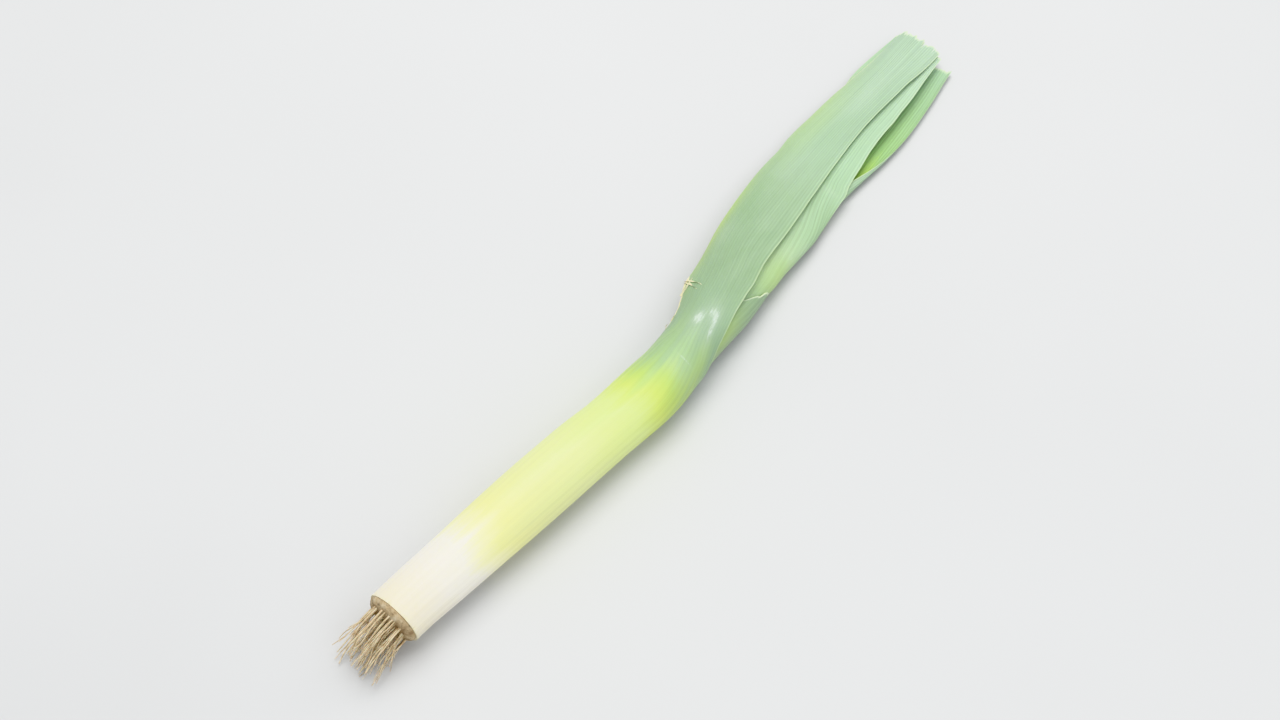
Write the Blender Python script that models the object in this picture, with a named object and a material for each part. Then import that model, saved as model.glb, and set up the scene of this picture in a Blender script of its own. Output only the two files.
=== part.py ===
"""A leek lying on its side, roots and trimmed leaves included.

The leek lies along +Y, root end first, on the plane z = 0. It is built as it grows: a short root plate
carries the roots on one face and the leaves on the other. Each leaf is one solid, a tube (the sheath) that
wraps the leaves inside it and then opens down one side into a flat blade. The tubes nest into the white
shank, and the blades leave it one above the other and are cut off together.
"""

import math

import bmesh
import bpy
from mathutils import Vector

# Lengths along the leek, from the root plate's face
LEEK_LENGTH = 0.609
SHANK_LENGTH = 0.225
ROOT_LENGTH = 0.030

# Layers of the shank, from the middle outwards
HEART_RADIUS = 0.0033
SHEATH_THICKNESS = 0.0017
SHEATH_GAP = 0.00058
OPENING_GAP = 0.00095

# Blades: how thick, how far apart, and how wide the flattened stack of them spreads
BLADE_THICKNESS = 0.0008
BLADE_GAP = 0.00034
TIP_GAP = 0.00022
BLADE_HEART_RADIUS = 0.0010
BLADE_SPREAD = 0.0240
TIP_SPREAD = 0.0176
MARGIN_SHARE = 0.55

# Root plate and roots
PLATE_THICKNESS = 0.0045
PLATE_CONE_HEIGHT = 0.0070
PLATE_CLEARANCE = 0.0004
ROOT_RADIUS = 0.00075
OUTER_ROOTS = 11
INNER_ROOTS = 6

# A tube has this many flat sides; the sides of all tubes line up, so that they nest
SIDES = 14
SIDE_ANGLE = 360 / SIDES
SHANK_ROWS = 6
BLADE_ROWS = 20
ROOT_POINTS = 7

FIRST_OPENING = 0.82

# Growth runs from 0 at the root plate to 1 where the shank ends and 2 where the leaves are cut.
# Each leaf, outermost first: its name, where its tube opens, where it is cut, the way its midrib faces in
# the shank (in sides, from +X towards +Z), the way and half-width of its blade (in degrees), and how far
# its right side reaches out past the oval.
LEAVES = (
    ("leaf_1_outer", FIRST_OPENING, 2.000, 4, 118, 47, 0.0),
    ("leaf_2_short", 1.10, 1.235, -3, -70, 60, 0.0),
    ("leaf_3_right", 1.15, 1.976, 3, 95, 49, 0.0),
    ("leaf_4_under", 1.27, 1.965, -3, -84, 82, 0.0075),
    ("leaf_5_left", 1.34, 1.990, 4, 124, 49, 0.0),
    ("leaf_6_under", 1.41, 1.950, -4, -100, 60, 0.0),
    ("leaf_7_inner", 1.48, 1.960, 3, 84, 58, 0.0),
)
OPENING_RUN = 0.45
SLIT_START = 0.01
HEART_END = 1.93
CUT_SLANT = 0.004

# Smooth profiles over growth: (growth, value) pairs
SHANK_SWELL = ((0.0, 0.87), (0.15, 0.91), (0.50, 1.0), (1.0, 0.985))
SIDE_BEND = (
    (0.0, -0.0025),
    (0.16, 0.0),
    (0.60, 0.0085),
    (0.93, 0.0145),
    (1.13, 0.0098),
    (1.30, -0.0035),
    (1.58, -0.0118),
    (1.85, -0.0150),
    (2.0, -0.0190),
)


def smooth_profile(knots, at):
    """Value of the smooth curve through the knots, level at both ends and never past a knot."""
    if at <= knots[0][0]:
        return knots[0][1]
    if at >= knots[-1][0]:
        return knots[-1][1]
    slopes = [(b[1] - a[1]) / (b[0] - a[0]) for a, b in zip(knots, knots[1:])]
    tangents = [0.0]
    for before, after in zip(slopes, slopes[1:]):
        same_way = before * after > 0
        tangents.append(2 * before * after / (before + after) if same_way else 0.0)
    tangents.append(0.0)
    i = max(n for n in range(len(slopes)) if knots[n][0] <= at)
    step = knots[i + 1][0] - knots[i][0]
    t = (at - knots[i][0]) / step
    start = (1 + 2 * t) * (1 - t) ** 2 * knots[i][1] + t * (1 - t) ** 2 * step * tangents[i]
    end = t * t * (3 - 2 * t) * knots[i + 1][1] + t * t * (t - 1) * step * tangents[i + 1]
    return start + end


def ease(start, end, at):
    """0 before start, 1 after end, smooth between."""
    t = min(max((at - start) / (end - start), 0.0), 1.0)
    return t * t * (3 - 2 * t)


def along(growth):
    """Distance from the root plate at this growth."""
    if growth <= 1:
        return growth * SHANK_LENGTH
    return SHANK_LENGTH + (growth - 1) * (LEEK_LENGTH - SHANK_LENGTH)


def growth_at(distance):
    """Growth at this distance from the root plate."""
    if distance <= SHANK_LENGTH:
        return distance / SHANK_LENGTH
    return 1 + (distance - SHANK_LENGTH) / (LEEK_LENGTH - SHANK_LENGTH)


def layer_thickness(growth):
    """Thickness of a leaf: the sheath's, thinning to the blade's past the shank."""
    swell = smooth_profile(SHANK_SWELL, growth)
    blade = ease(0.60, 1.35, growth)
    return SHEATH_THICKNESS * swell * (1 - blade) + BLADE_THICKNESS * blade


def layer_gap(growth):
    """Gap between one leaf and the next: tight in the shank, loose where the tubes open."""
    sheath = SHEATH_GAP * smooth_profile(SHANK_SWELL, growth)
    gap = sheath + (OPENING_GAP - sheath) * ease(0.70, 0.92, growth)
    gap += (BLADE_GAP - OPENING_GAP) * ease(1.20, 1.60, growth)
    return gap + (TIP_GAP - BLADE_GAP) * ease(1.60, 2.0, growth)


def heart_radius(growth):
    swell = smooth_profile(SHANK_SWELL, growth)
    blade = ease(0.97, 1.50, growth)
    return HEART_RADIUS * swell * (1 - blade) + BLADE_HEART_RADIUS * blade


def outer_radius(layers_inside, growth):
    """Outer radius of the leaf that has this many leaves between it and the heart, itself counted."""
    return heart_radius(growth) + layers_inside * (layer_thickness(growth) + layer_gap(growth))


def spread(growth):
    """Half of what the round stack gains in width as it flattens into blades."""
    wide = BLADE_SPREAD * ease(0.97, 1.52, growth)
    return wide - (BLADE_SPREAD - TIP_SPREAD) * ease(1.72, 2.0, growth)


def centre(growth):
    """Middle of the leek's cross-section. The shank lies on a flat of its outer tube, and the blades
    sink until the lowest full-length leaf lies on the ground."""
    flat = math.cos(math.radians(SIDE_ANGLE / 2))
    lowest_leaf = len(LEAVES) - 3
    shank_height = outer_radius(len(LEAVES), growth) * flat
    blade_height = outer_radius(lowest_leaf, growth)
    sunk = ease(1.0, 1.78, growth)
    height = shank_height * (1 - sunk) + blade_height * sunk
    return Vector((smooth_profile(SIDE_BEND, growth), along(growth), height))


def half_width(radius, growth):
    """Half-width of the oval that a layer of this radius follows."""
    return radius + spread(growth) * math.sqrt(radius / outer_radius(len(LEAVES), growth))


def leaf_point(growth, angle, radius, depth):
    """Point on a layer at this angle (degrees), sunk by depth below the layer's outer face."""
    cos = math.cos(math.radians(angle))
    sin = math.sin(math.radians(angle))
    step = radius * 0.01
    wide = half_width(radius, growth)
    widening = (wide - half_width(radius - step, growth)) / step
    slant = math.hypot(radius * cos, wide * sin)
    spacing = (radius * cos * widening * cos + wide * sin * sin) / slant
    inner = radius - depth / spacing
    return centre(growth) + Vector((half_width(inner, growth) * cos, 0, inner * sin))


def plate_top(radius):
    """Height of the root plate's cone at this distance from its middle."""
    rim = outer_radius(len(LEAVES), 0.0)
    return PLATE_CONE_HEIGHT * (1 - radius / rim)


def row_growths(start, end):
    """Growth of each row of a leaf: a few rows in the shank, then evenly from the first opening on."""
    shank = [n / SHANK_ROWS * FIRST_OPENING for n in range(SHANK_ROWS)]
    step = (2.0 - FIRST_OPENING) / BLADE_ROWS
    blades = [FIRST_OPENING + n * step for n in range(BLADE_ROWS)]
    inside = [g for g in shank + blades if start + step / 3 < g < end - step / 3]
    return [start] + inside + [end]


def principled(name, colour, roughness):
    """Material with this colour (linear RGB) and roughness."""
    made = bpy.data.materials.new(name)
    made.use_nodes = True
    shader = made.node_tree.nodes["Principled BSDF"]
    shader.inputs["Base Color"].default_value = (*colour, 1.0)
    shader.inputs["Roughness"].default_value = roughness
    shader.inputs["Metallic"].default_value = 0.0
    return made


def add_piece(name, bm, leek, material):
    """Object from a finished bmesh, parented to the leek, smooth but for its sharp rims."""
    bmesh.ops.recalc_face_normals(bm, faces=bm.faces[:])
    mesh = bpy.data.meshes.new(name)
    bm.to_mesh(mesh)
    bm.free()
    mesh.shade_smooth()
    mesh.set_sharp_from_angle(angle=math.radians(50))
    mesh.materials.append(material)
    piece = bpy.data.objects.new(name, mesh)
    piece.parent = leek
    bpy.context.scene.collection.objects.link(piece)
    return piece


def add_leaf(order, leek, material):
    """One leaf: a sheet of rows and columns, closed into a tube up to where it opens, and given a wall."""
    name, opens, cut, midrib_side, blade_angle, blade_half, reach = LEAVES[order]
    layers_inside = len(LEAVES) - order
    first_wall = outer_radius(layers_inside, 0.0)
    start = growth_at(plate_top(first_wall - SHEATH_THICKNESS) + PLATE_CLEARANCE)
    growths = row_growths(start, cut)
    rows = len(growths)

    bm = bmesh.new()
    bmesh.ops.create_grid(bm, x_segments=SIDES, y_segments=rows - 1, size=1)
    inner = bm.verts.layers.int.new("inner")
    outer_faces = bm.faces[:]
    grown = bmesh.ops.extrude_face_region(bm, geom=outer_faces, use_keep_orig=True)
    for item in grown["geom"]:
        if isinstance(item, bmesh.types.BMVert):
            item[inner] = 1

    def row_of(vert):
        return round((vert.co.y + 1) / 2 * (rows - 1))

    def closed(row):
        return growths[row] < opens + SLIT_START

    # The two long edges meet wherever the tube is closed, so they need no rim there
    seam_rims = []
    for face in bm.faces:
        on_edge = all(abs(abs(vert.co.x) - 1) < 1e-4 for vert in face.verts)
        if on_edge and all(closed(row_of(vert)) for vert in face.verts):
            seam_rims.append(face)
    bmesh.ops.delete(bm, geom=seam_rims, context="FACES")

    for vert in bm.verts:
        row = row_of(vert)
        growth = growths[row]
        across = vert.co.x
        opened = min(max((growth - opens) / OPENING_RUN, 0.0), 1.0)
        turn = ease(0.0, 1.0, opened)
        half = 180 - (180 - blade_half) * (opened + turn) / 2
        middle = midrib_side * SIDE_ANGLE * (1 - turn) + blade_angle * turn
        if closed(row):
            half = 180
            middle = midrib_side * SIDE_ANGLE
        thin = 1 - (1 - MARGIN_SHARE) * turn * across * across
        depth = layer_thickness(growth) * thin * vert[inner]
        if row == rows - 1:
            growth -= CUT_SLANT * (1 - across) / 2 / (LEEK_LENGTH - SHANK_LENGTH)
        radius = outer_radius(layers_inside, growth)
        angle = middle - half * across
        vert.co = leaf_point(growth, angle, radius, depth)
        vert.co.x += reach * turn**2 * max(math.cos(math.radians(angle)), 0.0) ** 2
    bmesh.ops.remove_doubles(bm, verts=bm.verts[:], dist=1e-6)
    return add_piece(name, bm, leek, material)


def add_heart(leek, material):
    """The youngest leaves, still folded into one tight rod, drawn out ring by ring."""
    start = growth_at(plate_top(0.0) + PLATE_CLEARANCE)
    growths = row_growths(start, HEART_END)
    bm = bmesh.new()
    bmesh.ops.create_circle(bm, cap_ends=True, segments=SIDES, radius=HEART_RADIUS)
    bm.faces.ensure_lookup_table()
    last_face = bm.faces[0]
    ring = sorted(last_face.verts, key=lambda vert: math.atan2(vert.co.y, vert.co.x))
    sides = {vert: number for number, vert in enumerate(ring)}
    for growth in growths:
        if growth > start:
            cap = last_face
            grown = bmesh.ops.extrude_face_region(bm, geom=[cap])
            last_face = next(item for item in grown["geom"] if isinstance(item, bmesh.types.BMFace))
            for vert in last_face.verts:
                nearest = min(cap.verts, key=lambda other: (other.co - vert.co).length)
                sides[vert] = sides[nearest]
            if growth > growths[1]:
                bmesh.ops.delete(bm, geom=[cap], context="FACES_ONLY")
        for vert in last_face.verts:
            vert.co = leaf_point(growth, sides[vert] * SIDE_ANGLE, heart_radius(growth), 0.0)
    return add_piece("heart_leaf", bm, leek, material)


def add_root_plate(leek, material):
    """The flat stem that roots and leaves grow from: a domed face outside, a low cone inside."""
    rim = outer_radius(len(LEAVES), 0.0) - SHEATH_THICKNESS / 2
    profile = (
        (0.0, -PLATE_THICKNESS),
        (rim * 0.55, -PLATE_THICKNESS * 0.96),
        (rim * 0.85, -PLATE_THICKNESS * 0.72),
        (rim * 0.98, -PLATE_THICKNESS * 0.30),
        (rim, plate_top(rim)),
        (0.0, plate_top(0.0)),
    )
    middle = centre(0.0)
    bm = bmesh.new()
    verts = [bm.verts.new((middle.x + r, middle.y + y, middle.z)) for r, y in profile]
    edges = [bm.edges.new(pair) for pair in zip(verts, verts[1:])]
    bmesh.ops.spin(
        bm,
        geom=verts + edges,
        cent=middle,
        axis=(0, 1, 0),
        angle=math.tau,
        steps=2 * SIDES,
        use_merge=True,
    )
    bmesh.ops.remove_doubles(bm, verts=bm.verts[:], dist=1e-6)
    return add_piece("root_plate", bm, leek, material)


def root_path(ring_radius, angle, length, lean):
    """Points of one root: straight out of the plate, then spreading, sagging and lying on the ground."""
    middle = centre(0.0)
    outwards = Vector((math.cos(angle), 0, math.sin(angle)))
    points = []
    for n in range(ROOT_POINTS):
        t = n / (ROOT_POINTS - 1)
        point = middle + outwards * (ring_radius + lean * t * t)
        point.y = -PLATE_THICKNESS - PLATE_CLEARANCE - length * t
        point.z -= 0.006 * t * t
        point.x += 0.0012 * math.sin(5 * t)
        resting = ROOT_RADIUS * 1.05
        above = point.z - resting
        point.z = resting + (above + math.hypot(above, 0.0016)) / 2
        points.append(point)
    return points


def add_root(number, path, leek, material):
    """One root: a round strand that tapers to its cut end."""
    curve = bpy.data.curves.new(f"root_{number:02d}", "CURVE")
    curve.dimensions = "3D"
    curve.bevel_depth = ROOT_RADIUS
    curve.bevel_resolution = 1
    curve.use_fill_caps = True
    strand = curve.splines.new("POLY")
    strand.points.add(len(path) - 1)
    for n, (point, place) in enumerate(zip(strand.points, path)):
        point.co = (*place, 1.0)
        point.radius = 1.0 - 0.45 * n / (len(path) - 1)
    curve.materials.append(material)
    root = bpy.data.objects.new(curve.name, curve)
    root.parent = leek
    bpy.context.scene.collection.objects.link(root)
    return root


def add_roots(leek, material):
    """Two rings of roots. Each ring spreads outwards, so that no two roots meet."""
    plate_radius = outer_radius(len(LEAVES), 0.0)
    rings = (
        (OUTER_ROOTS, plate_radius * 0.72, 0.0060, 0.12),
        (INNER_ROOTS, plate_radius * 0.36, 0.0015, 0.55),
    )
    number = 0
    for count, ring_radius, lean, turn in rings:
        for n in range(count):
            number += 1
            length = ROOT_LENGTH * (1 - 0.28 * ((number * 5) % 7) / 6)
            angle = math.tau * n / count + turn
            add_root(number, root_path(ring_radius, angle, length, lean), leek, material)


def corner_box(objects):
    """Lowest and highest corners of all the objects as they stand."""
    bpy.context.view_layer.update()
    graph = bpy.context.evaluated_depsgraph_get()
    low = Vector((math.inf,) * 3)
    high = -low
    for item in objects:
        evaluated = item.evaluated_get(graph)
        mesh = evaluated.to_mesh()
        for vert in mesh.vertices:
            place = evaluated.matrix_world @ vert.co
            low = Vector(map(min, low, place))
            high = Vector(map(max, high, place))
        evaluated.to_mesh_clear()
    return low, high


def build_leek():
    for item in list(bpy.data.objects):
        bpy.data.objects.remove(item, do_unlink=True)
    leek = bpy.data.objects.new("leek", None)
    bpy.context.scene.collection.objects.link(leek)

    blade_green = principled("blade_green", (0.30, 0.50, 0.28), 0.45)
    inner_green = principled("inner_green", (0.42, 0.60, 0.24), 0.45)
    heart_yellow = principled("heart_yellow", (0.72, 0.76, 0.35), 0.45)
    plate_cream = principled("plate_cream", (0.72, 0.64, 0.46), 0.75)
    root_straw = principled("root_straw", (0.60, 0.48, 0.29), 0.80)

    add_root_plate(leek, plate_cream)
    add_roots(leek, root_straw)
    for order in range(len(LEAVES)):
        add_leaf(order, leek, blade_green if order < 4 else inner_green)
    add_heart(leek, heart_yellow)

    low, high = corner_box(leek.children)
    leek.location = (-(low.x + high.x) / 2, -(low.y + high.y) / 2, -low.z)


build_leek()
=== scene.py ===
"""The looks of a whole leek lying on its side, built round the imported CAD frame."""

import math

import bmesh
import bpy
import numpy as np
from mathutils import Matrix, Vector


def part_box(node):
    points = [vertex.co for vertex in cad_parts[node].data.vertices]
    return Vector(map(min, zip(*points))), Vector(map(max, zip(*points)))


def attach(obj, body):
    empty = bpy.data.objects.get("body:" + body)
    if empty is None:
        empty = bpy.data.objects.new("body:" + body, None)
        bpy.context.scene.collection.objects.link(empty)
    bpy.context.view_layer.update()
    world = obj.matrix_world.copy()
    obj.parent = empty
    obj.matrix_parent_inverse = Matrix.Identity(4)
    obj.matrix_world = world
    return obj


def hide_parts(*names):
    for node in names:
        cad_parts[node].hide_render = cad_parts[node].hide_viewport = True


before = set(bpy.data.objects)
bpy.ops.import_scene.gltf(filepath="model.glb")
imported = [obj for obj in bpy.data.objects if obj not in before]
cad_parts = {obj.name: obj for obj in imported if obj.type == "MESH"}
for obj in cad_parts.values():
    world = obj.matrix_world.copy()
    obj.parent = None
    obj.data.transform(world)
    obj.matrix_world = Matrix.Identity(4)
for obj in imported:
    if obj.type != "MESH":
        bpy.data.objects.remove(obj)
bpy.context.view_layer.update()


# ---------------------------------------------------------------------------------------------------------
# Leaf layers. A leek is a stack of leaves, each a white sheath that wraps the younger ones and a green blade
# that fans out of it. All leaves follow one family of nested ovals round a gently bent middle line, so the
# sheaths nest with a hair of room and the blades lie on each other.

plate_low, plate_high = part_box("root_plate")
plate_thickness = 0.0045
plate_x = (plate_low.x + plate_high.x) / 2
face_y = plate_low.y + plate_thickness
shank_length = 0.225
leek_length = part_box("leaf_1_outer")[1].y - face_y
blade_length = leek_length - shank_length
leaf_count = 7

sheath_thickness = 0.0017
sheath_gap = 0.00058
opening_gap = 0.00095
blade_thickness = 0.0008
blade_gap = 0.00034
tip_gap = 0.00022
heart_sheath_radius = 0.0033
heart_blade_radius = 0.0010
blade_spread = 0.0240
tip_spread = 0.0176
sheath_sides = 14
floor_softness = 0.0005

shank_swell = ((0.0, 0.87), (0.15, 0.91), (0.50, 1.0), (1.0, 0.985))
side_bend = (
    (0.0, 0.0),
    (0.16, 0.0025),
    (0.60, 0.0110),
    (0.93, 0.0170),
    (1.13, 0.0123),
    (1.30, -0.0010),
    (1.58, -0.0093),
    (1.85, -0.0125),
    (2.0, -0.0165),
)


def smooth_profile(knots, at):
    """Values of the smooth curve through the knots, level at both ends and never past a knot."""
    places, values = np.array(knots, float).T
    slopes = np.diff(values) / np.diff(places)
    tangents = np.zeros(len(values))
    same_way = slopes[:-1] * slopes[1:] > 0
    product = 2 * slopes[:-1] * slopes[1:]
    total = np.where(same_way, slopes[:-1] + slopes[1:], 1.0)
    tangents[1:-1] = np.where(same_way, product / total, 0.0)
    at = np.clip(at, places[0], places[-1])
    i = np.clip(np.searchsorted(places, at, side="right") - 1, 0, len(slopes) - 1)
    step = places[i + 1] - places[i]
    t = (at - places[i]) / step
    start = (1 + 2 * t) * (1 - t) ** 2 * values[i] + t * (1 - t) ** 2 * step * tangents[i]
    end = t * t * (3 - 2 * t) * values[i + 1] + t * t * (t - 1) * step * tangents[i + 1]
    return start + end


def ease(start, end, at):
    """0 before start, 1 after end, smooth between."""
    t = np.clip((at - start) / (end - start), 0.0, 1.0)
    return t * t * (3 - 2 * t)


def growth_at(distance):
    """Growth, 0 at the root plate, 1 where the shank ends and 2 at the cut, at this distance."""
    in_blade = 1 + (distance - shank_length) / blade_length
    return np.where(distance <= shank_length, distance / shank_length, in_blade)


def distance_at(growth):
    """Distance from the root plate's upper face at this growth."""
    in_blade = shank_length + (growth - 1) * blade_length
    return np.where(growth <= 1, growth * shank_length, in_blade)


def layer_thickness(growth):
    swell = smooth_profile(shank_swell, growth)
    blade = ease(0.60, 1.35, growth)
    return sheath_thickness * swell * (1 - blade) + blade_thickness * blade


def layer_gap(growth):
    sheath = sheath_gap * smooth_profile(shank_swell, growth)
    gap = sheath + (opening_gap - sheath) * ease(0.70, 0.92, growth)
    gap = gap + (blade_gap - opening_gap) * ease(1.20, 1.60, growth)
    return gap + (tip_gap - blade_gap) * ease(1.60, 2.0, growth)


def heart_radius(growth):
    swell = smooth_profile(shank_swell, growth)
    blade = ease(0.97, 1.50, growth)
    return heart_sheath_radius * swell * (1 - blade) + heart_blade_radius * blade


def outer_radius(layers_inside, growth):
    """Outer radius of the leaf with this many leaves between it and the heart, itself counted."""
    return heart_radius(growth) + layers_inside * (layer_thickness(growth) + layer_gap(growth))


def half_width(radius, growth):
    """Half-width of the oval that a layer of this radius follows: the stack flattens into blades."""
    wide = blade_spread * ease(0.97, 1.52, growth)
    wide = wide - (blade_spread - tip_spread) * ease(1.72, 2.0, growth)
    return radius + wide * np.sqrt(radius / outer_radius(leaf_count, growth))


def grown_wave(angle, growth):
    """Share by which every layer swells at this angle: the stack is never a true oval."""
    turned = np.radians(angle)
    shank = 0.014 * np.cos(2 * turned - 1.1 + 1.2 * growth) + 0.007 * np.cos(3 * turned + 2.3 * growth)
    shank = shank + 0.0035 * np.cos(7 * turned + 1.3 * growth) + 0.006 * np.sin(9.0 * growth + turned)
    blade = 0.012 * np.sin(11.0 * growth + 1.4 * np.cos(turned)) + 0.008 * np.sin(23.0 * growth - 2 * turned)
    return shank + blade * ease(1.0, 1.4, growth)


def layer_points(growth, angle, radius, depth):
    """Points on a layer at these angles (degrees), sunk by depth below the layer's outer face."""
    turned = np.radians(angle)
    cos, sin = np.cos(turned), np.sin(turned)

    # Spacing is how far apart two layers lie here for a unit of radius, so that a wall keeps its thickness
    step = radius * 0.01
    wide = half_width(radius, growth)
    widening = (wide - half_width(radius - step, growth)) / step
    slant = np.hypot(radius * cos, wide * sin)
    spacing = (radius * cos * widening * cos + wide * sin * sin) / slant
    inner = radius - depth / spacing

    # The stack's middle sinks as it opens, and whatever would go below the ground rests on it
    swollen = 1 + grown_wave(angle, growth)
    flat = math.cos(math.pi / sheath_sides)
    sunk = ease(1.0, 1.78, growth)
    height = outer_radius(leaf_count, growth) * flat * (1 - sunk)
    height = height + outer_radius(leaf_count - 3, growth) * sunk
    x = plate_x + smooth_profile(side_bend, growth) + half_width(inner, growth) * cos * swollen
    outer_z = height + radius * sin * swollen
    resting = (outer_z + np.hypot(outer_z, floor_softness)) / 2
    z = resting + (inner - radius) * sin * swollen
    return np.stack([x, face_y + distance_at(growth), z], axis=-1)


# ---------------------------------------------------------------------------------------------------------
# Leaf skin. A waxy leaf, white where it grew in the ground and blue-green in the light, with fine veins
# along it. The colour follows the distance along the leaf; pale scuffs, dry straw rims and yellowing follow
# the marks that each leaf carries.

pale_margin = 0.0010
moist_cut = 0.0030
ramp_length = 0.62
white_shank = (
    (0.000, (0.80, 0.74, 0.58)),
    (0.030, (0.84, 0.80, 0.70)),
    (0.046, (0.84, 0.81, 0.70)),
    (0.059, (0.86, 0.84, 0.52)),
    (0.076, (0.79, 0.79, 0.35)),
    (0.100, (0.73, 0.755, 0.355)),
    (0.130, (0.72, 0.77, 0.36)),
    (0.150, (0.69, 0.765, 0.31)),
)
outer_greens = (
    (0.17, (0.67, 0.77, 0.295)),
    (0.187, (0.585, 0.69, 0.165)),
    (0.202, (0.44, 0.58, 0.150)),
    (0.224, (0.315, 0.46, 0.215)),
    (0.25, (0.255, 0.370, 0.225)),
    (0.30, (0.24, 0.35, 0.195)),
    (0.40, (0.26, 0.385, 0.215)),
    (0.45, (0.31, 0.445, 0.280)),
    (0.60, (0.35, 0.475, 0.335)),
)
inner_greens = (
    (0.19, (0.57, 0.69, 0.17)),
    (0.30, (0.52, 0.68, 0.15)),
    (0.43, (0.47, 0.67, 0.13)),
    (0.48, (0.33, 0.53, 0.22)),
    (0.60, (0.35, 0.52, 0.33)),
)
# Leaf 3's greens: the outer leaf's made lighter, as painted light that offsets the shade leaf 1 throws on
# it, lightest from 0.30 to 0.36 where leaf 1's margin shades it
painted_light_greens = (
    (0.25, (0.30, 0.44, 0.280)),
    (0.30, (0.32, 0.465, 0.260)),
    (0.36, (0.325, 0.47, 0.265)),
    (0.40, (0.295, 0.44, 0.245)),
    (0.45, (0.36, 0.52, 0.328)),
    (0.60, (0.41, 0.555, 0.392)),
)


class Nodes:
    """A material's nodes, added one after the other with their inputs."""

    def __init__(self, name):
        self.material = bpy.data.materials.new(name)
        self.material.use_nodes = True
        self.tree = self.material.node_tree
        self.shader = self.tree.nodes["Principled BSDF"]

    def add(self, kind, inputs=(), **settings):
        made = self.tree.nodes.new("ShaderNode" + kind)
        for name, value in settings.items():
            setattr(made, name, value)
        self.feed(made, inputs)
        return made

    def feed(self, made, inputs):
        for name, value in dict(inputs).items():
            if isinstance(value, bpy.types.NodeSocket):
                self.tree.links.new(value, made.inputs[name])
            else:
                made.inputs[name].default_value = value

    def math(self, operation, *values, clamp=False):
        made = self.add("Math", operation=operation, use_clamp=clamp)
        self.feed(made, enumerate(values))
        return made.outputs[0]

    def ramp(self, factor, stops):
        made = self.add("ValToRGB", {"Fac": factor})
        elements = made.color_ramp.elements
        while len(elements) > 1:
            elements.remove(elements[-1])
        elements[0].position = stops[0][0]
        elements[0].color = (*stops[0][1], 1.0)
        for place, colour in stops[1:]:
            elements.new(place).color = (*colour, 1.0)
        return made.outputs["Color"]

    def mix(self, factor, first, second, blend="MIX"):
        made = self.add("Mix", data_type="RGBA", blend_type=blend, clamp_factor=True)
        self.feed(made, {0: factor, 6: first, 7: second})
        return made.outputs[2]

    def noise(self, vector, scale, detail=3.0, roughness=0.5, distortion=0.0):
        made = self.add("TexNoise", {"Vector": vector, "Scale": scale, "Detail": detail})
        self.feed(made, {"Roughness": roughness, "Distortion": distortion})
        return made.outputs["Fac"]

    def scaled(self, vector, scale):
        made = self.add("Mapping", {"Vector": vector, "Scale": scale})
        return made.outputs["Vector"]

    def attribute(self, name):
        return self.add("Attribute", attribute_name=name).outputs["Vector"]

    def split(self, vector):
        return self.add("SeparateXYZ", {"Vector": vector}).outputs


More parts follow.
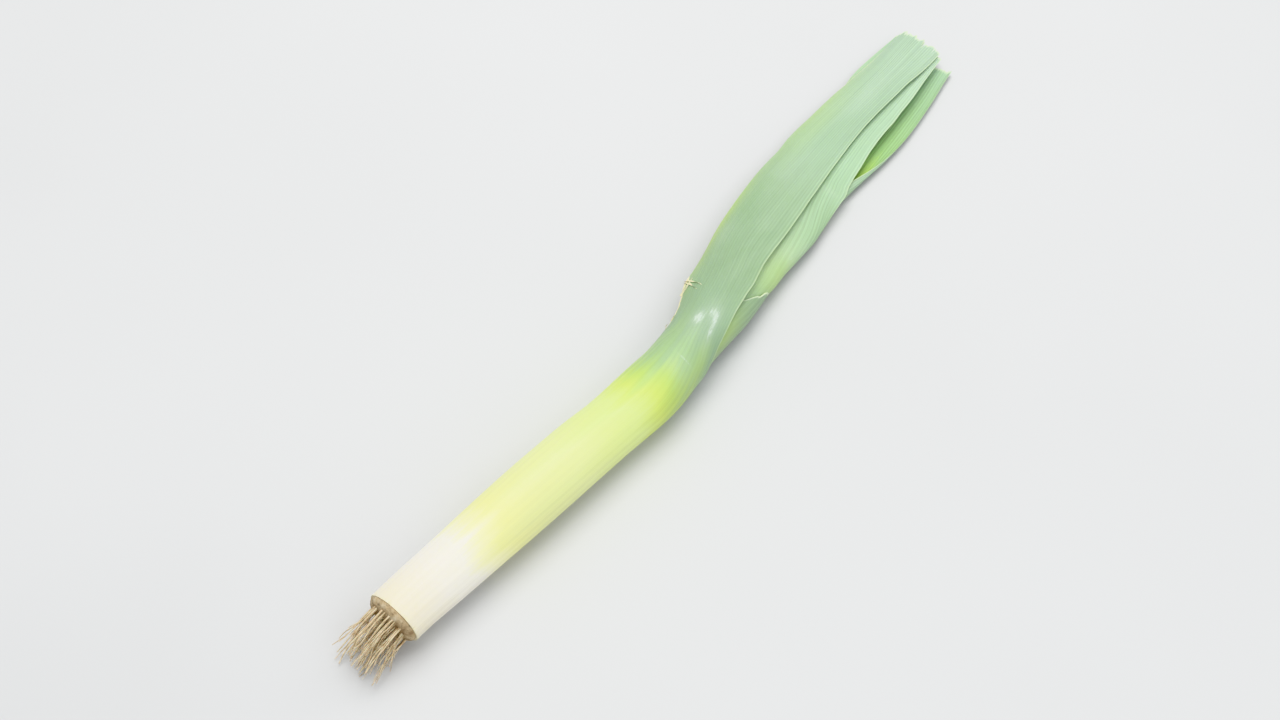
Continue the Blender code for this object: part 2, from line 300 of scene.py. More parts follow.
def leaf_skin(name, greens, inner_greens, veins):
    """Material of a leaf: the blade's colours outside and inside at their distances, and the vein count."""
    n = Nodes(name)
    grain = n.attribute("grain")
    around_x, around_y, along = n.split(grain)
    edge_margin, edge_cut, inside = n.split(n.attribute("edges"))
    bruise, yellowing, dryness = n.split(n.attribute("marks"))

    # Streaks: the same threads run through a leaf from the plate to the cut
    broad = n.noise(n.scaled(grain, (2.2, 2.2, 5.0)), 1.0, 2.0)
    threads = n.noise(n.scaled(grain, (13.0, 13.0, 5.5)), 1.0, 4.0, 0.6)
    fine = n.noise(n.scaled(grain, (42.0, 42.0, 22.0)), 1.0, 3.0, 0.65)
    turned = n.math("ARCTAN2", around_y, around_x)
    wander = n.math("MULTIPLY", n.math("SUBTRACT", threads, 0.5), 3.0)
    wave = n.math("SINE", n.math("ADD", n.math("MULTIPLY", turned, float(veins)), wander))
    vein = n.math("POWER", n.math("MULTIPLY_ADD", wave, 0.5, 0.5), 2.0)
    wave = n.math("SINE", n.math("MULTIPLY", turned, float(veins * 3)))
    veinlet = n.math("MULTIPLY_ADD", wave, 0.5, 0.5)

    # Ground colour along the leaf, its borders drawn out into streaks
    streaky = n.math("MULTIPLY", n.math("SUBTRACT", threads, 0.5), 0.019)
    cloudy = n.math("MULTIPLY", n.math("SUBTRACT", broad, 0.5), 0.050)
    place = n.math("ADD", n.math("ADD", along, streaky), cloudy)
    place = n.math("DIVIDE", place, ramp_length, clamp=True)
    outer = n.ramp(place, [(at / ramp_length, shade) for at, shade in white_shank + greens])
    inner = n.ramp(place, [(at / ramp_length, shade) for at, shade in white_shank + inner_greens])
    in_blade = n.math("MULTIPLY", n.math("SUBTRACT", place, 0.36), 8.0, clamp=True)

    # Bloom: a thin coat of pale wax in clouds on the outer face, wiped off here and there
    objects = n.add("TexCoord").outputs["Object"]
    clouds = n.noise(n.scaled(objects, (1.0, 0.35, 1.0)), 34.0, 4.0, 0.6, 0.4)
    bloom = n.math("MULTIPLY", n.math("SUBTRACT", clouds, 0.36), 1.6, clamp=True)
    bloom = n.math("MULTIPLY", n.math("MULTIPLY", bloom, in_blade), 0.42)
    colour = n.mix(bloom, outer, (0.44, 0.56, 0.43, 1.0))
    colour = n.mix(inside, colour, inner)

    # Veins: darker threads in the blade, faint in the white sheath
    shade = n.math("MULTIPLY_ADD", vein, -0.20, 1.13)
    shade = n.math("ADD", shade, n.math("MULTIPLY", veinlet, -0.12))
    shade = n.math("ADD", shade, n.math("MULTIPLY", n.math("SUBTRACT", fine, 0.5), 0.42))
    shade = n.math("ADD", shade, n.math("MULTIPLY", n.math("SUBTRACT", threads, 0.5), 0.80))
    strength = n.ramp(place, ((0.28, (0.22,) * 3), (0.50, (0.38,) * 3), (0.90, (0.92,) * 3)))
    colour = n.mix(strength, colour, n.mix(1.0, colour, shade, "MULTIPLY"))

    # Yellowing, the thin pale margin and the moist cut
    colour = n.mix(n.math("MULTIPLY", yellowing, 0.85, clamp=True), colour, (0.42, 0.56, 0.18, 1.0))
    margin = n.math("SUBTRACT", 1.0, n.math("DIVIDE", edge_margin, pale_margin), clamp=True)
    colour = n.mix(n.math("MULTIPLY", margin, 0.60), colour, (0.58, 0.70, 0.42, 1.0))
    cut = n.math("SUBTRACT", 1.0, n.math("DIVIDE", edge_cut, moist_cut), clamp=True)
    colour = n.mix(n.math("MULTIPLY", cut, 0.80), colour, (0.72, 0.80, 0.58, 1.0))

    # Scuffs: the wax cracked white in streaks. Dry rims: straw, papery
    cracks = n.noise(n.scaled(grain, (11.0, 11.0, 120.0)), 1.0, 5.0, 0.8, 1.5)
    cracked = n.math("MULTIPLY", n.math("SUBTRACT", n.math("ADD", bruise, cracks), 1.0), 5.0, clamp=True)
    haze = n.math("MULTIPLY", bruise, 0.22, clamp=True)
    scuffed = n.math("MAXIMUM", n.math("MULTIPLY", cracked, 0.60), haze)
    colour = n.mix(scuffed, colour, (0.66, 0.72, 0.66, 1.0))
    straw = n.ramp(fine, ((0.32, (0.50, 0.40, 0.20)), (0.56, (0.82, 0.78, 0.52))))
    dry = n.math("SUBTRACT", n.math("MULTIPLY_ADD", threads, 0.7, dryness), 0.62)
    dry = n.math("MULTIPLY", dry, 3.5, clamp=True)
    colour = n.mix(n.math("MULTIPLY", dry, 0.95), colour, straw)

    # Relief: veins, threads, and the grain of the skin
    relief = n.math("MULTIPLY", vein, -0.40)
    relief = n.math("ADD", relief, n.math("MULTIPLY", veinlet, 0.14))
    relief = n.math("ADD", relief, n.math("MULTIPLY", threads, 0.75))
    relief = n.math("ADD", relief, n.math("MULTIPLY", fine, 0.40))
    relief = n.math("ADD", relief, n.math("MULTIPLY", cracked, 0.5))
    bump = n.add("Bump", {"Strength": 0.34, "Distance": 0.00034, "Height": relief})

    rough = n.math("MULTIPLY_ADD", fine, 0.16, 0.30)
    rough = n.math("ADD", rough, n.math("MULTIPLY", bloom, 0.30))
    rough = n.math("ADD", rough, n.math("MULTIPLY", dry, 0.35), clamp=True)
    n.feed(n.shader, {
        "Base Color": colour,
        "Roughness": rough,
        "Normal": bump.outputs["Normal"],
        "Subsurface Weight": 0.12,
        "Subsurface Radius": (0.9, 1.0, 0.4),
        "Subsurface Scale": 0.0022,
        "Specular IOR Level": 0.42,
        "Sheen Weight": 0.06,
        "Sheen Roughness": 0.45,
    })
    return n.material


outer_skin = leaf_skin("outer_leaf_skin", outer_greens, inner_greens, 26)
# Leaf 3's skin is lighter by painted light, against the shade that leaf 1 throws on it
painted_light_skin = leaf_skin("painted_light_leaf_skin", outer_greens[:3] + painted_light_greens, inner_greens, 24)
inner_skin = leaf_skin("inner_leaf_skin", outer_greens[:3] + inner_greens[-1:], inner_greens, 24)


# ---------------------------------------------------------------------------------------------------------
# Leaves. Seven of them, from the weathered outer one to the youngest that has opened. Each grew as one
# piece out of the root plate. Their tops were cut off together with a knife, and the older ones show tears.

open_run = 0.45
slit_start = 0.01
first_open = 0.82
fine_zone = (0.20, 0.34)
fine_share = 0.45
cut_zone = 0.018
cut_share = 0.36
side_thinning = 0.45
margin_share = 0.10
margin_edge = 0.30
margin_waviness = 0.010
rib_height = 0.00006
base_reach = 0.0009
base_stain = 0.42
base_stain_run = 0.0030
lift_from = 0.45
lift_run = 0.05
tatter_root = 0.0006
tatter_ripple = 0.0004
tatter_thickness = 0.00016
sharp_angle = math.radians(52)
plain_look = {
    "columns": 72,
    "step": 0.0036,
    "cut": 0.0022,
    "cut_line": ((-1, 0.004), (1, 0.0)),
    "stretch": 0.030,
    "margins": {},
    "flare": {},
    "lift": (),
    "torn": (),
    "tatters": (),
    "creases": (),
    "bruises": (),
    "yellow": (),
    "dry": (),
    "greening": (),
}


def noise_1d(at, seed, octaves=3):
    """Smooth wandering between about -1 and 1, the same for the same seed."""
    rng = np.random.default_rng(seed)
    total = np.zeros_like(np.asarray(at, float))
    for octave in range(octaves):
        values = rng.uniform(-1, 1, 512)
        place = np.asarray(at, float) * 2**octave + rng.uniform(0, 50)
        i = np.floor(place).astype(int)
        t = place - i
        t = t * t * (3 - 2 * t)
        total = total + (values[i % 512] * (1 - t) + values[(i + 1) % 512] * t) * 0.55**octave
    return total / 1.6


def row_distances(start, cut, step):
    """Distances of a leaf's rows: dense where it opens, tears or is cut."""
    places = [start]
    while places[-1] < cut:
        here = places[-1]
        wanted = step
        if fine_zone[0] < here < fine_zone[1]:
            wanted = step * fine_share
        if cut - here < cut_zone:
            wanted = step * cut_share
        places.append(here + wanted)
    scale = (cut - start) / (places[-1] - start)
    return start + (np.array(places) - start) * scale


def jagged_cut(across, depth, seed):
    """How far behind the knife's line the leaf ends: steps, teeth and a few splits along the veins."""
    rng = np.random.default_rng(seed)
    steps = np.minimum(np.abs(noise_1d(across * 7, seed, 2)) * 1.7, 1) * depth
    teeth = np.abs(noise_1d(across * 30, seed + 1, 2)) * depth * 0.55
    splits = np.zeros_like(across)
    for place in rng.uniform(-0.85, 0.85, 4):
        reach = rng.uniform(1.0, 2.6) * depth
        splits = np.maximum(splits, reach * np.clip(1 - np.abs(across - place) / 0.016, 0, 1))
    return steps + teeth + splits


def settle(value, soft=0.2):
    """The value itself up to just below 1, then a smooth bend to 1."""
    bend = 1 - (1 + soft - value) ** 2 / (4 * soft)
    return np.where(value < 1 - soft, value, np.where(value > 1 + soft, 1.0, bend))


def spot(across, distance, at):
    """A soft round mark: at is its middle (across, distance), its reach in each and its strength."""
    far = ((across - at[0]) / at[2]) ** 2 + ((distance - at[1]) / at[3]) ** 2
    return at[4] * np.exp(-far)


def add_leaf(name, order, opens, midrib_side, blade_angle, blade_half, reach, skin, look):
    """One leaf: a grid of rows and columns, closed into a tube up to where it opens, with a wall.

    Opens is the growth at which the sheath slits. The midrib leaves the sheath at one of its sides and
    turns to blade_angle, while the leaf narrows to blade_half degrees on either hand of it. Reach pushes
    the blade's right side outwards.

    Across runs from -1 to 1 between the leaf's two margins, and distances start at the root plate. The
    look gives the leaf its own outline and marks. Margins widens or narrows a side, flare pushes it
    outwards, lift raises it, torn bites pieces off it and tatters hang dry slivers on it. Creases fold
    the leaf, cut_line leans its cut, and stretch is how far behind the cut the rows follow it. Bruises,
    yellow, dry and greening are spots in the colours, and greening brings the colours on sooner.
    """
    look = plain_look | look
    layers_inside = leaf_count - order
    low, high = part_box(name)
    start = low.y - face_y - (base_reach if order == 0 else 0.0)
    cut = high.y - face_y
    columns = look["columns"]
    places = row_distances(start, cut, look["step"])
    rows = len(places) - 1

    bm = bmesh.new()
    bmesh.ops.create_grid(bm, x_segments=columns, y_segments=rows, size=1)
    inner = bm.verts.layers.float.new("inner")
    grain = bm.verts.layers.float_vector.new("grain")
    edges = bm.verts.layers.float_vector.new("edges")
    marks = bm.verts.layers.float_vector.new("marks")
    grown = bmesh.ops.extrude_face_region(bm, geom=bm.faces[:], use_keep_orig=True)
    for item in grown["geom"]:
        if isinstance(item, bmesh.types.BMVert):
            item[inner] = 1.0

    # The two long edges meet wherever the tube is closed, so they need no rim there
    def row_of(vert):
        return round((vert.co.y + 1) / 2 * rows)

    closed_rows = growth_at(places) < opens + slit_start
    rims = []
    for face in bm.faces:
        on_edge = all(abs(abs(vert.co.x) - 1) < 1e-4 for vert in face.verts)
        if on_edge and all(closed_rows[row_of(vert)] for vert in face.verts):
            rims.append(face)
    bmesh.ops.delete(bm, geom=rims, context="FACES")

    verts = bm.verts[:]
    flat = np.array([vert.co for vert in verts])
    across = flat[:, 0]
    row = np.rint((flat[:, 1] + 1) / 2 * rows).astype(int)
    depth = np.array([vert[inner] for vert in verts])
    distance = places[row]
    closed = closed_rows[row]

    # The cut eats into the last stretch, so that rows crowd up behind the jagged edge
    line = cut - smooth_profile(look["cut_line"], across)
    ends = line - jagged_cut(across, look["cut"], 40 + order)
    stretch = look["stretch"]
    near_cut = np.clip((distance - (cut - stretch)) / stretch, 0, 1)
    distance = np.where(near_cut > 0, cut - stretch + near_cut * (ends - cut + stretch), distance)
    growth = growth_at(distance)

    opened = settle(np.maximum((growth - opens) / open_run, 0))
    turn = ease(0.0, 1.0, opened)
    half = 180 - (180 - blade_half) * (opened + turn) / 2
    middle = midrib_side * 360 / sheath_sides * (1 - turn) + blade_angle * turn
    half = np.where(closed, 180, half)
    middle = np.where(closed, midrib_side * 360 / sheath_sides, middle)
    wavy = noise_1d(distance * 42 + np.sign(across) * 7, 80 + order, 3)
    half = half * (1 + margin_waviness * wavy * opened * np.abs(across) ** 3 * (1 - closed))
    for side, shares in look["margins"].items():
        half = half * (1 + smooth_profile(shares, distance) * (across * side > 0) * (1 - closed))
    for mark in look["torn"]:
        bite = spot(across, distance, mark) * (0.6 + 0.8 * noise_1d(distance * 300, 11, 3))
        half = half * (1 - bite * (1 - closed))
    angle = middle - half * across

    thin = 1 - side_thinning * turn * across**2
    edge = np.clip((np.abs(across) - (1 - margin_share)) / margin_share, 0, 1)
    thin = thin * (1 - (1 - margin_edge) * edge * edge * opened)
    wall = layer_thickness(growth) * thin * depth
    radius = outer_radius(layers_inside, growth)
    for side, first, last, height in look["lift"]:
        towards = np.clip((across * side - lift_from) / (1 - lift_from), 0, 1) ** 2
        rise = ease(first, first + lift_run, distance) * (1 - ease(last - lift_run, last, distance))
        radius = radius + height * towards * rise * (1 + 0.35 * noise_1d(distance * 30, 23, 2))
    for middle_at, run, slope, height in look["creases"]:
        off = (distance - middle_at - slope * across) / run
        radius = radius + height * (np.exp(-off * off) - 0.6 * np.exp(-((off - 1.6) ** 2)))
    ribs = noise_1d(across * 22, 60 + order, 2) * (1 - across**8)
    radius = radius + rib_height * ribs * ease(0.9, 1.2, growth)
    points = layer_points(growth, angle, radius, wall)
    cos = np.cos(np.radians(angle))
    points[:, 0] += reach * turn**2 * np.maximum(cos, 0) ** 2
    for side, amounts in look["flare"].items():
        points[:, 0] += side * smooth_profile(amounts, distance) * np.maximum(side * cos, 0) ** 2

    # What the skin reads: place in the leaf, distances to its edges, and its marks
    def marked(kind):
        return sum((spot(across, distance, mark) for mark in look[kind]), np.zeros_like(across))

    turned = across * math.pi
    width = half_width(radius, growth) * np.radians(half) * (1 - np.abs(across))
    margin = np.where(closed, 1.0, width)
    bruise = marked("bruises")
    yellow = marked("yellow")
    dry = marked("dry") + base_stain * np.exp(-((distance - start) / base_stain_run) ** 2)
    sooner = marked("greening")
    to_cut = np.where(near_cut > 0, (1 - near_cut) * stretch, line - distance)
    for i, vert in enumerate(verts):
        vert.co = points[i]
        vert[grain] = (math.cos(turned[i]), math.sin(turned[i]), distance[i] + sooner[i])
        vert[edges] = (margin[i], to_cut[i], depth[i])
        vert[marks] = (bruise[i], yellow[i], dry[i])
    long_edges = [vert for vert, x in zip(verts, across) if abs(abs(x) - 1) < 1e-4]
    bmesh.ops.remove_doubles(bm, verts=long_edges, dist=1e-6)
    for tatter in look["tatters"]:
        add_tatter(bm, points, across, distance, depth, tatter, (grain, edges, marks))
    bmesh.ops.recalc_face_normals(bm, faces=bm.faces[:])
    slot = "outer_leaf" if order < 4 else "inner_leaf"
    finish_piece(name.replace("leaf_", "leek_leaf_"), bm, skin, slot, name)


def add_tatter(bm, points, across, distance, depth, tatter, layers):
    """A dry sliver torn off a leaf's margin: a tapered, curling strip rooted in the edge."""
    side, at, length, width, aim, curl = tatter
    on_edge = (np.abs(across - side) < 1e-4) & (depth < 0.5)
    root = Vector(points[on_edge][np.argmin(np.abs(distance[on_edge] - at))])
    steps = 9
    strip = bmesh.ops.create_grid(bm, x_segments=2, y_segments=steps, size=1)["verts"]
    direction = Vector(aim).normalized()
    sideways = direction.cross(Vector((0.3, 0.2, 1.0))).normalized()
    upward = sideways.cross(direction).normalized()
    grain, edges, marks = layers
    for vert in strip:
        t = (vert.co.y + 1) / 2
        s = vert.co.x * width / 2 * (1 - 0.85 * t)
        bend = curl * t
        place = root - direction * tatter_root
        place = place + direction * length * math.sin(bend + 1e-6) / (curl + 1e-6)
        place = place + upward * length * (1 - math.cos(bend)) / (curl + 1e-6)
        place = place + sideways * s + upward * tatter_ripple * math.sin(9 * t + s * 2000)
        vert.co = place
        vert[grain] = (side, 0.2 * s / width, at + t * length)
        vert[edges] = (0.002, 0.01, 0.0)
        vert[marks] = (0.0, 0.2, 0.7 + 0.3 * t)
    faces = list({face for vert in strip for face in vert.link_faces})
    bmesh.ops.solidify(bm, geom=faces, thickness=tatter_thickness)


def finish_piece(name, bm, material, slot, *nodes):
    """The object of a finished bmesh: it rides on the leek's one body and stands for its CAD nodes."""
    mesh = bpy.data.meshes.new(name)
    bm.to_mesh(mesh)
    bm.free()
    mesh.shade_smooth()
    mesh.set_sharp_from_angle(angle=sharp_angle)
    mesh.materials.append(material)
    piece = bpy.data.objects.new(name, mesh)
    bpy.context.scene.collection.objects.link(piece)
    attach(piece, "root")
    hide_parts(*nodes)


add_leaf("leaf_1_outer", 0, first_open, 4, 118, 47, 0.0, outer_skin, {
    "columns": 120,
    "step": 0.0028,
    "cut": 0.0040,
    "cut_line": ((-1, 0.0008), (-0.5, 0.0), (0.5, 0.0037), (1, 0.0058)),
    "margins": {
        1: (
            (0.225, 0.0), (0.240, -0.15), (0.252, -0.235), (0.275, -0.262), (0.289, -0.195), (0.306, -0.03),
            (0.320, 0.045), (0.336, 0.115), (0.352, 0.13), (0.370, 0.08), (0.409, -0.05), (0.459, -0.165),
            (0.49, -0.22), (0.545, -0.15), (0.602, 0.20),
        ),
        -1: (
            (0.222, 0.0), (0.242, -0.58), (0.2555, -0.52), (0.267, -0.455), (0.281, -0.36), (0.289, -0.27),
            (0.316, -0.025), (0.339, 0.015), (0.377, -0.10), (0.409, 0.0), (0.447, 0.06), (0.50, 0.0),
            (0.555, -0.10), (0.60, -0.03),
        ),
    },
    "flare": {-1: (
        (0.235, 0.0), (0.2555, 0.0010), (0.267, 0.0032), (0.281, 0.0066), (0.290, 0.0052), (0.316, 0.0020),
        (0.34, 0.0005), (0.38, 0.0), (0.425, 0.0), (0.447, 0.0018), (0.484, 0.0006), (0.52, 0.0),
    )},
    "lift": ((1, 0.25, 0.60, 0.0016), (-1, 0.235, 0.32, 0.0010), (-1, 0.30, 0.60, 0.0004)),
    "bruises": (
        (0.14, 0.2548, 0.17, 0.0085, 0.48),
        (0.47, 0.2651, 0.24, 0.0095, 0.51),
        (0.60, 0.2500, 0.10, 0.0130, 0.49),
        (0.30, 0.2600, 0.40, 0.0160, 0.16),
        (0.25, 0.2430, 0.26, 0.0110, 0.26),
        (0.26, 0.2170, 0.24, 0.0120, 0.43),
        (0.32, 0.2231, 0.18, 0.0008, 0.30),
        (0.00, 0.4200, 0.60, 0.0300, 0.36),
        (0.30, 0.5300, 0.30, 0.0300, 0.36),
        (-0.40, 0.3300, 0.30, 0.0200, 0.34),
    ),
    "yellow": (
        (0.62, 0.226, 0.14, 0.015, 0.55),
        (-1.0, 0.335, 0.34, 0.050, 0.95),
        (-0.25, 0.245, 0.30, 0.018, 0.20),
        (-0.85, 0.48, 0.32, 0.060, 0.50),
        (-0.3, 0.47, 0.25, 0.050, 0.25),
    ),
    "greening": (
        (-0.10, 0.206, 0.16, 0.019, 0.010),
        (0.28, 0.219, 0.10, 0.016, 0.008),
        (0.40, 0.078, 0.19, 0.048, 0.013),
    ),
    "dry": (
        (-1.0, 0.262, 0.085, 0.022, 1.0),
        (-0.95, 0.281, 0.10, 0.004, 0.8),
        (-1.0, 0.545, 0.03, 0.05, 0.6),
    ),
    "torn": ((-1.0, 0.262, 0.40, 0.026, 0.045), (-1.0, 0.284, 0.20, 0.003, 0.08)),
    "tatters": (
        (-1, 0.269, 0.0140, 0.0018, (-0.10, 1.0, 0.52), 0.30),
        (-1, 0.280, 0.0170, 0.0020, (0.95, -0.12, 1.05), -0.8),
        (-1, 0.281, 0.0150, 0.0015, (0.85, 0.15, 1.15), -0.8),
        (-1, 0.241, 0.0040, 0.0010, (-0.5, 0.6, 0.5), 0.8),
        (-1, 0.248, 0.0045, 0.0011, (-0.2, 0.9, 0.4), 0.6),
    ),
})
add_leaf("leaf_2_short", 1, 1.10, -3, -70, 60, 0.0, outer_skin, {
    "columns": 96,
    "cut": 0.0026,
    "cut_line": ((-1, 0.026), (-0.78, 0.024), (-0.69, 0.0125), (-0.52, 0.0), (0.2, 0.002), (1.0, 0.012)),
    "stretch": 0.047,
    "yellow": ((-0.72, 0.255, 0.3, 0.022, 0.90),),
    "dry": ((0.0, 0.320, 2.0, 0.0030, 0.5),),
})
# Leaf 3 wears the lighter skin, painted light against the shade of leaf 1
add_leaf("leaf_3_right", 2, 1.15, 3, 95, 49, 0.0, painted_light_skin, {
    "columns": 88,
    "cut_line": ((-1, 0.004), (1, 0.0)),
    "margins": {1: (
        (0.375, 0.0), (0.408, -0.07), (0.45, 0.0), (0.502, -0.15), (0.552, -0.18), (0.60, 0.01),
    )},
    "flare": {1: ((0.295, 0.0), (0.326, 0.0038), (0.370, 0.0036), (0.405, 0.0))},
    "lift": ((1, 0.38, 0.60, 0.0014),),
    "bruises": (
        (0.41, 0.3477, 0.20, 0.0080, 0.48),
        (0.72, 0.3600, 0.26, 0.0070, 0.50),
        (0.60, 0.4180, 0.35, 0.0025, 0.40),
    ),
    "yellow": ((0.45, 0.325, 0.35, 0.026, 0.60),),
    "creases": ((0.4180, 0.0045, 0.006, 0.00028),),
})
add_leaf("leaf_4_under", 3, 1.27, -3, -84, 82, 0.0075, outer_skin, {
    "columns": 96,
    "cut_line": ((-1, -0.0034), (1, 0.0)),
})
add_leaf("leaf_5_left", 4, 1.34, 4, 124, 49, 0.0, inner_skin, {
    "flare": {-1: ((0.47, 0.0), (0.50, 0.0075), (0.555, 0.0125), (0.605, 0.0090))},
    "cut_line": ((-1, 0.0005), (1, 0.004)),
    "lift": ((-1, 0.50, 0.65, 0.0006),),
})
add_leaf("leaf_6_under", 5, 1.41, -4, -100, 60, 0.0, inner_skin, {})
add_leaf("leaf_7_inner", 6, 1.48, 3, 84, 58, 0.0, inner_skin, {"columns": 56})


# ---------------------------------------------------------------------------------------------------------
# Heart. The youngest leaves, still folded into one tight rod in the middle of the shank. It is soft, moist
# and yellow-green, and was cut with the blades.

heart_sides = 28


def add_heart():
    low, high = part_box("heart_leaf")
    places = np.linspace(low.y - face_y, high.y - face_y, 90)
    bm = bmesh.new()
    grain = bm.verts.layers.float_vector.new("grain")
    edges = bm.verts.layers.float_vector.new("edges")
    bm.verts.layers.float_vector.new("marks")
    bmesh.ops.create_circle(bm, cap_ends=True, segments=heart_sides, radius=0.003)
    bm.faces.ensure_lookup_table()
    cap = bm.faces[0]
    ring = sorted(cap.verts, key=lambda vert: math.atan2(vert.co.y, vert.co.x))
    first_cap = cap
    for step, place in enumerate(places):
        if step:
            grown = bmesh.ops.extrude_face_region(bm, geom=[cap])
            made = next(item for item in grown["geom"] if isinstance(item, bmesh.types.BMFace))
            new_ring = []
            for vert in ring:
                new_ring.append(min(made.verts, key=lambda other: (other.co - vert.co).length))
            if cap is not first_cap:
                bmesh.ops.delete(bm, geom=[cap], context="FACES_ONLY")
            cap, ring = made, new_ring
        growth = growth_at(np.full(heart_sides, place))
        angles = np.arange(heart_sides) * 360 / heart_sides
        radius = heart_radius(growth) * (1 + 0.05 * np.cos(np.radians(3 * angles)))
        points = layer_points(growth, angles, radius * 0.97, np.zeros(heart_sides))
        for vert, point, angle in zip(ring, points, angles):
            vert.co = point
            vert[grain] = (math.cos(math.radians(angle)), math.sin(math.radians(angle)), place)
            vert[edges] = (1.0, places[-1] - place, 0.0)
    bmesh.ops.recalc_face_normals(bm, faces=bm.faces[:])
    greens = ((0.24, (0.64, 0.70, 0.26)), (0.60, (0.56, 0.65, 0.21)))
    skin = leaf_skin("heart_skin", greens, greens, 7)
    finish_piece("leek_heart", bm, skin, "heart_leaf", "heart_leaf")


add_heart()


# ---------------------------------------------------------------------------------------------------------
# Root plate. The short flat stem at the bottom of the leek: a corky disc, cream and brown, ringed with the
# scars of old roots and holding a little soil. Leaves grow from its cone side, roots from its face.

plate_centre_z = (plate_low.z + plate_high.z) / 2
plate_radius = (plate_high.x - plate_low.x) / 2
plate_cone = 0.0070
cone_lift = 0.0002
lump_height = 0.00035
knob_share = 0.02


def corky_skin():
    n = Nodes("root_plate_cork")
    objects = n.add("TexCoord").outputs["Object"]
    pores = n.noise(objects, 900.0, 4.0, 0.7)
    patches = n.noise(objects, 160.0, 3.0, 0.6)
    soil = n.math("MULTIPLY", n.math("SUBTRACT", n.noise(objects, 330.0, 4.0, 0.7), 0.56), 7.0, clamp=True)
    colour = n.ramp(patches, (
        (0.30, (0.30, 0.20, 0.11)),
        (0.50, (0.56, 0.44, 0.27)),
        (0.70, (0.72, 0.63, 0.45)),
    ))
    colour = n.mix(n.math("MULTIPLY", pores, 0.5), colour, (0.42, 0.30, 0.17, 1.0))
    colour = n.mix(n.math("MULTIPLY", soil, 0.75), colour, (0.10, 0.065, 0.04, 1.0))
    relief = n.math("ADD", pores, n.math("MULTIPLY", patches, 1.4))
    bump = n.add("Bump", {"Strength": 0.8, "Distance": 0.0008, "Height": relief})
    rough = n.math("MULTIPLY_ADD", pores, 0.2, 0.68)
    n.feed(n.shader, {"Base Color": colour, "Roughness": rough, "Normal": bump.outputs["Normal"]})
    n.feed(n.shader, {"Specular IOR Level": 0.25})
    return n.material


def add_plate():
    rounded_face = (
        (0.0, 1.0), (0.2, 1.0), (0.4, 0.98), (0.55, 0.95), (0.7, 0.88), (0.82, 0.76), (0.91, 0.56),
        (0.97, 0.32), (1.0, 0.04),
    )
    profile = [(plate_radius * out, -plate_thickness * down) for out, down in rounded_face]
    cone_face = (0.99, 0.75, 0.5, 0.25, 0.0)
    profile += [(plate_radius * out, plate_cone * (1 - out) + cone_lift) for out in cone_face]
    bm = bmesh.new()
    verts = [bm.verts.new((plate_x + out, face_y + up, plate_centre_z)) for out, up in profile]
    lines = [bm.edges.new(pair) for pair in zip(verts, verts[1:])]
    middle = Vector((plate_x, face_y, plate_centre_z))
    bmesh.ops.spin(
        bm, geom=verts + lines, cent=middle, axis=(0, 1, 0), angle=math.tau, steps=96, use_merge=True
    )
    bmesh.ops.remove_doubles(bm, verts=bm.verts[:], dist=1e-6)
    outside = [edge for edge in bm.edges if edge.verts[0].co.y < face_y and edge.verts[1].co.y < face_y]
    bmesh.ops.subdivide_edges(bm, edges=outside, cuts=1, use_grid_fill=True)

    # Lumps and knobs, only on the side that the roots grow from
    for vert in bm.verts:
        off = vert.co - middle
        if off.y > -0.0002:
            continue
        spread = math.hypot(off.x, off.z)
        angle = math.atan2(off.z, off.x)
        lumps = noise_1d(np.array([spread * 700 + 3 * math.sin(2 * angle)]), 5, 2)[0]
        knobs = noise_1d(np.array([angle * 9 + spread * 300]), 6, 2)[0]
        vert.co.y += lump_height * lumps * min(1.0, spread / 0.003)
        vert.co += Vector((off.x, 0, off.z)) * (knob_share * knobs - knob_share / 2)
    bmesh.ops.recalc_face_normals(bm, faces=bm.faces[:])
    finish_piece("leek_root_plate", bm, corky_skin(), "root_plate", "root_plate")


add_plate()


# ---------------------------------------------------------------------------------------------------------
# Roots. A beard of pale, dried strands, trimmed to a few centimetres. They leave the plate straight, then
# spread and droop onto whatever the leek lies on. Each tapers, wanders and ends where the knife took it.

main_roots = 17
fine_roots = 84
root_radius = 0.00075
root_length = 0.030
root_droop = 0.007
root_rest = 0.0008
root_softness = 0.0014
golden_angle = 2.39996
beard_share = 0.84
beard_rings = 21


def root_skin():
    n = Nodes("dry_root")
    objects = n.add("TexCoord").outputs["Object"]
    bands = n.noise(n.scaled(objects, (1.0, 0.5, 1.0)), 420.0, 3.0, 0.6)
    fibres = n.noise(n.scaled(objects, (1.0, 0.12, 1.0)), 2600.0, 3.0, 0.6)
    colour = n.ramp(bands, (
        (0.32, (0.40, 0.29, 0.16)),
        (0.50, (0.66, 0.55, 0.36)),
        (0.68, (0.80, 0.72, 0.54)),
    ))
    colour = n.mix(n.math("MULTIPLY", fibres, 0.35), colour, (0.50, 0.37, 0.21, 1.0))
    relief = n.math("ADD", fibres, bands)
    bump = n.add("Bump", {"Strength": 0.6, "Distance": 0.0003, "Height": relief})
    rough = n.math("MULTIPLY_ADD", fibres, 0.2, 0.62)
    n.feed(n.shader, {"Base Color": colour, "Roughness": rough, "Normal": bump.outputs["Normal"]})
    n.feed(n.shader, {"Specular IOR Level": 0.3, "Subsurface Weight": 0.08, "Subsurface Scale": 0.001})
    return n.material


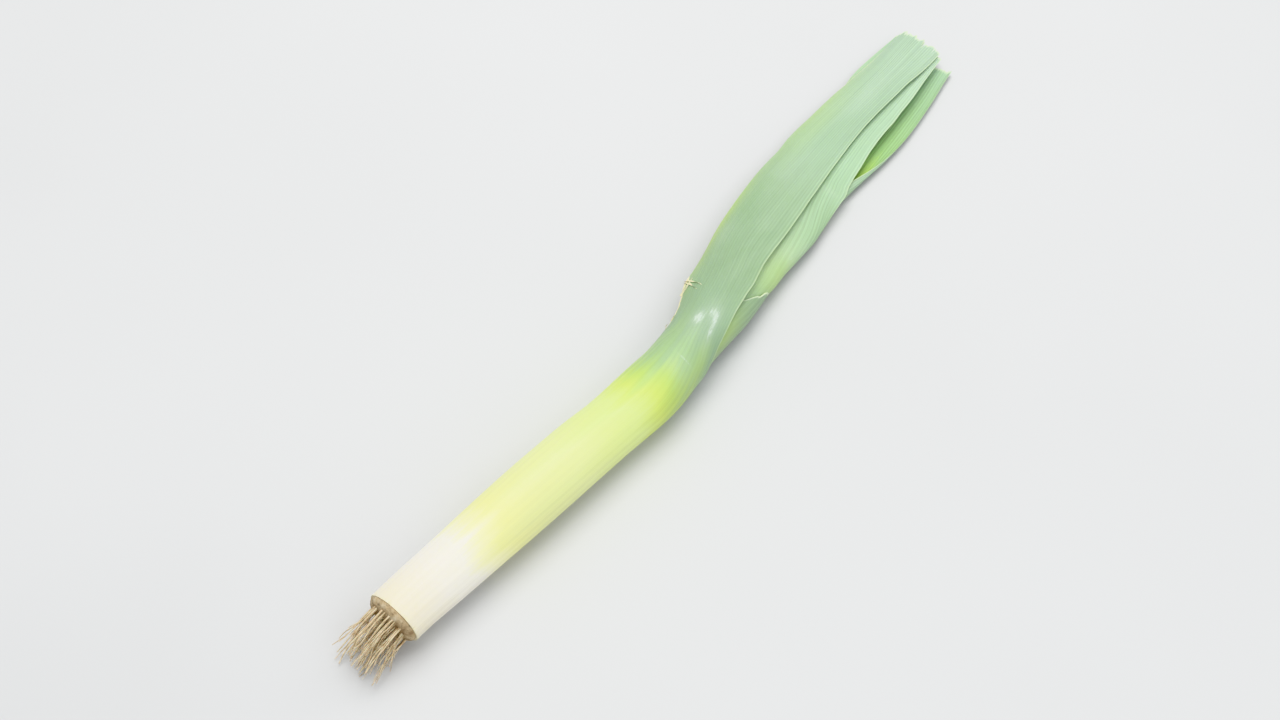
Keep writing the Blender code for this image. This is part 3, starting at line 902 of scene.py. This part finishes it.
def root_route(ring_radius, angle, length, lean, wander, rng):
    """Points of one root: out of the plate, spreading, sagging and lying on the ground."""
    count = 14
    phase = rng.uniform(0, math.tau, 3)
    route = []
    for step in range(count):
        t = step / (count - 1)
        out = ring_radius + lean * t * t
        sway_x = wander * t * math.sin(5.5 * t + phase[0])
        sway_z = wander * t * math.sin(6.5 * t + phase[1])
        x = plate_x + out * math.cos(angle) + sway_x
        y = face_y - plate_thickness * 0.8 - length * t * (1 - 0.08 * math.sin(phase[2]) * t)
        above = plate_centre_z + out * math.sin(angle) - root_droop * t * t + sway_z - root_rest
        z = root_rest + (above + math.hypot(above, root_softness)) / 2
        route.append(Vector((x, y, z)))
    return route


def add_strand(bm, route, radius, sides):
    """A tapering round strand drawn along the route, closed at both ends."""
    start = route[0]
    ring = bmesh.ops.create_circle(bm, cap_ends=True, segments=sides, radius=radius)["verts"]
    cap = next(face for face in ring[0].link_faces if len(face.verts) == sides)
    bmesh.ops.transform(bm, matrix=Matrix.Rotation(math.pi / 2, 4, "X"), verts=ring)
    bmesh.ops.translate(bm, vec=start, verts=ring)
    bottom = cap
    for step, (here, there) in enumerate(zip(route, route[1:])):
        grown = bmesh.ops.extrude_face_region(bm, geom=[cap])
        made = next(item for item in grown["geom"] if isinstance(item, bmesh.types.BMFace))
        if cap is not bottom:
            bmesh.ops.delete(bm, geom=[cap], context="FACES_ONLY")
        before = (here - route[max(step - 1, 0)]) if step else (there - here)
        turn = before.rotation_difference(there - here)
        share = 1 - 0.075 * (1.0 + 0.6 * math.sin(step * 2.1 + start.x * 9000))
        for vert in made.verts:
            off = vert.co - here
            off.rotate(turn)
            vert.co = there + off * share
        cap = made


def add_roots():
    rng = np.random.default_rng(17)
    bm = bmesh.new()
    for number in range(main_roots + fine_roots):
        main = number < main_roots
        angle = number * golden_angle + rng.uniform(-0.25, 0.25)
        ring = plate_radius * beard_share * math.sqrt((number % beard_rings + 0.6) / beard_rings)
        length = root_length * (rng.uniform(0.72, 1.0) if main else rng.uniform(0.35, 0.92))
        lean = rng.uniform(0.0, 0.0065) * ring / plate_radius
        radius = root_radius * (rng.uniform(0.9, 1.25) if main else rng.uniform(0.4, 0.8))
        route = root_route(ring, angle, length, lean, rng.uniform(0.0004, 0.0022), rng)
        add_strand(bm, route, radius, 8 if main else 6)
    bmesh.ops.recalc_face_normals(bm, faces=bm.faces[:])
    nodes = [f"root_{number:02d}" for number in range(1, main_roots + 1)]
    finish_piece("leek_roots", bm, root_skin(), "root", *nodes)


add_roots()


# ---------------------------------------------------------------------------------------------------------
# Floor, light and camera. A plain pale table under soft studio light from the upper left, seen from above
# the root end, with the shank nearest and the cut leaves farthest.

def add_floor():
    bm = bmesh.new()
    bmesh.ops.create_grid(bm, x_segments=1, y_segments=1, size=25)
    mesh = bpy.data.meshes.new("floor")
    bm.to_mesh(mesh)
    bm.free()
    n = Nodes("pale_floor")
    objects = n.add("TexCoord").outputs["Object"]
    cloud = n.noise(objects, 3.0, 2.0)
    colour = n.ramp(cloud, ((0.3, (0.58, 0.58, 0.575)), (0.7, (0.61, 0.61, 0.605))))
    n.feed(n.shader, {"Base Color": colour, "Roughness": 0.85, "Specular IOR Level": 0.2})
    mesh.materials.append(n.material)
    floor = bpy.data.objects.new("floor", mesh)
    bpy.context.scene.collection.objects.link(floor)


def add_area_light(name, place, aim, size, energy, colour):
    data = bpy.data.lights.new(name, "AREA")
    data.shape = "SQUARE"
    data.size = size
    data.energy = energy
    data.color = colour
    light = bpy.data.objects.new(name, data)
    light.location = place
    light.rotation_euler = (Vector(aim) - Vector(place)).to_track_quat("-Z", "Y").to_euler()
    bpy.context.scene.collection.objects.link(light)


add_floor()
add_area_light("key_light", (-0.38, 0.25, 1.65), (0, 0, 0), 1.3, 24.5, (1.0, 0.99, 0.97))
add_area_light("fill_light", (1.2, -0.5, 1.0), (0, 0, 0), 1.4, 5.0, (0.97, 0.99, 1.0))
add_area_light("back_light", (0.3, 1.4, 0.9), (0, 0, 0), 1.0, 4.0, (1.0, 1.0, 1.0))

world = bpy.data.worlds.new("soft_room")
world.use_nodes = True
world.node_tree.nodes["Background"].inputs["Color"].default_value = (0.93, 0.96, 1.0, 1.0)
world.node_tree.nodes["Background"].inputs["Strength"].default_value = 0.75
bpy.context.scene.world = world

camera_place = Vector((0.2148, -0.4231, 0.6112))
camera_aim = Vector((0.0, -0.0705, 0.015))
camera_roll = math.radians(7.9)
camera_data = bpy.data.cameras.new("camera")
camera_data.lens = 33.0
camera = bpy.data.objects.new("camera", camera_data)
level = (camera_aim - camera_place).to_track_quat("-Z", "Y").to_matrix().to_4x4()
camera.matrix_world = Matrix.Translation(camera_place) @ level @ Matrix.Rotation(camera_roll, 4, "Z")
bpy.context.scene.collection.objects.link(camera)
bpy.context.scene.camera = camera
bpy.context.scene.view_settings.view_transform = "Khronos PBR Neutral"
